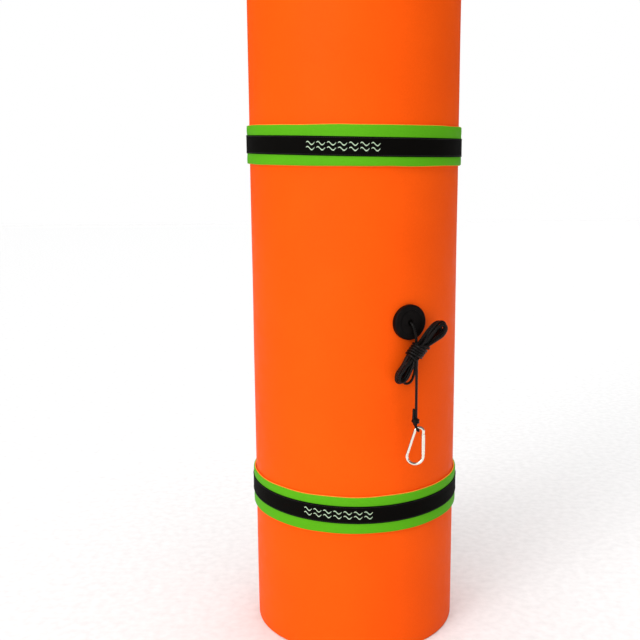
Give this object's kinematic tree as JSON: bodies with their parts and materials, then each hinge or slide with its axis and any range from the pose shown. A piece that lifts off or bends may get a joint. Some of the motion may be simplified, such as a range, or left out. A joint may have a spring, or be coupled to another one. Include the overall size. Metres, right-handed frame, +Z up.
{
  "type": "rolled floating foam mat",
  "caption": "Floating foam mat rolled up on end, held by foam straps with webbing and hook-and-loop ends, with a rubber anchor puck, a hank of elastic tether cord and a steel snap hook.",
  "frame": {"origin": "middle of the base, on the floor, at the centre of the box round the mat and its straps", "axes": "+Z up along the roll; -Y is the front, where the tether hangs right of the middle; +X to the right seen from the front; the mat's free edge is at the back right"},
  "size_m": [0.5872, 0.5719, 1.83],
  "materials": {
    "mat_orange_foam": "satin closed-cell foam skin",
    "mat_green_foam": "satin closed-cell foam skin",
    "strap_green_foam": "satin closed-cell foam skin",
    "strap_orange_foam": "satin closed-cell foam skin",
    "webbing": "plain-woven black webbing",
    "closure": "black hook-and-loop pile",
    "puck_rubber": "moulded black rubber",
    "elastic_cord": "braided black sheath over elastic",
    "hook_steel": "bright plated steel",
    "spring_steel": "bare steel"
  },
  "bodies": {
    "mat": {"mat_outer_ply": "mat_orange_foam", "mat_inner_ply": "mat_green_foam"},
    "upper_strap": {"upper_strap_outer_ply": "strap_green_foam", "upper_strap_inner_ply": "strap_orange_foam", "upper_strap_webbing": "webbing", "upper_strap_loop_patch": "closure"},
    "upper_tab": {"upper_tab_outer_ply": "strap_green_foam", "upper_tab_inner_ply": "strap_orange_foam", "upper_tab_webbing": "webbing", "upper_tab_hook_patch": "closure"},
    "lower_strap": {"lower_strap_outer_ply": "strap_green_foam", "lower_strap_inner_ply": "strap_orange_foam", "lower_strap_webbing": "webbing", "lower_strap_loop_patch": "closure"},
    "lower_tab": {"lower_tab_outer_ply": "strap_green_foam", "lower_tab_inner_ply": "strap_orange_foam", "lower_tab_webbing": "webbing", "lower_tab_hook_patch": "closure"},
    "tether": {"anchor_puck": "puck_rubber", "stop_knot": "elastic_cord", "tether_lead": "elastic_cord", "tether_hank": "elastic_cord", "tether_line": "elastic_cord", "eye_knot": "elastic_cord"},
    "snap_hook": {"hook_body": "hook_steel"},
    "gate": {"hook_gate": "hook_steel", "gate_pin": "spring_steel", "gate_plunger": "spring_steel", "gate_spring": "spring_steel"}
  },
  "joints": [
    {"name": "upper_strap_slide", "type": "slide", "parent": "mat", "child": "upper_strap", "axis": [0, 0, 1], "range_m": [-0.25, 0.38]},
    {"name": "lower_strap_slide", "type": "slide", "parent": "mat", "child": "lower_strap", "axis": [0, 0, 1], "range_m": [-0.32, 0.06]},
    {"name": "upper_tab_peel", "type": "hinge", "parent": "upper_strap", "child": "upper_tab", "pos_m": [-0.1519, 0.2553, 1.357], "axis": [0, 0, -1], "range_deg": [0, 80]},
    {"name": "lower_tab_peel", "type": "hinge", "parent": "lower_strap", "child": "lower_tab", "pos_m": [-0.1519, 0.2553, 0.4], "axis": [0, 0, -1], "range_deg": [0, 80]},
    {"name": "puck_pull", "type": "slide", "parent": "mat", "child": "tether", "axis": [0.4617, -0.887, 0], "range_m": [0, 0.06]},
    {"name": "hook_swing", "type": "hinge", "parent": "tether", "child": "snap_hook", "pos_m": [0.15084, -0.27769, 0.63883], "axis": [-0.848, 0, -0.5299], "range_deg": [-8, 110]},
    {"name": "gate_open", "type": "hinge", "parent": "snap_hook", "child": "gate", "pos_m": [0.16767, -0.27769, 0.619], "axis": [0, 1, 0], "range_deg": [0, 30], "stiffness_Nm_per_rad": 0.01, "springref_deg": -11.46}
  ]
}
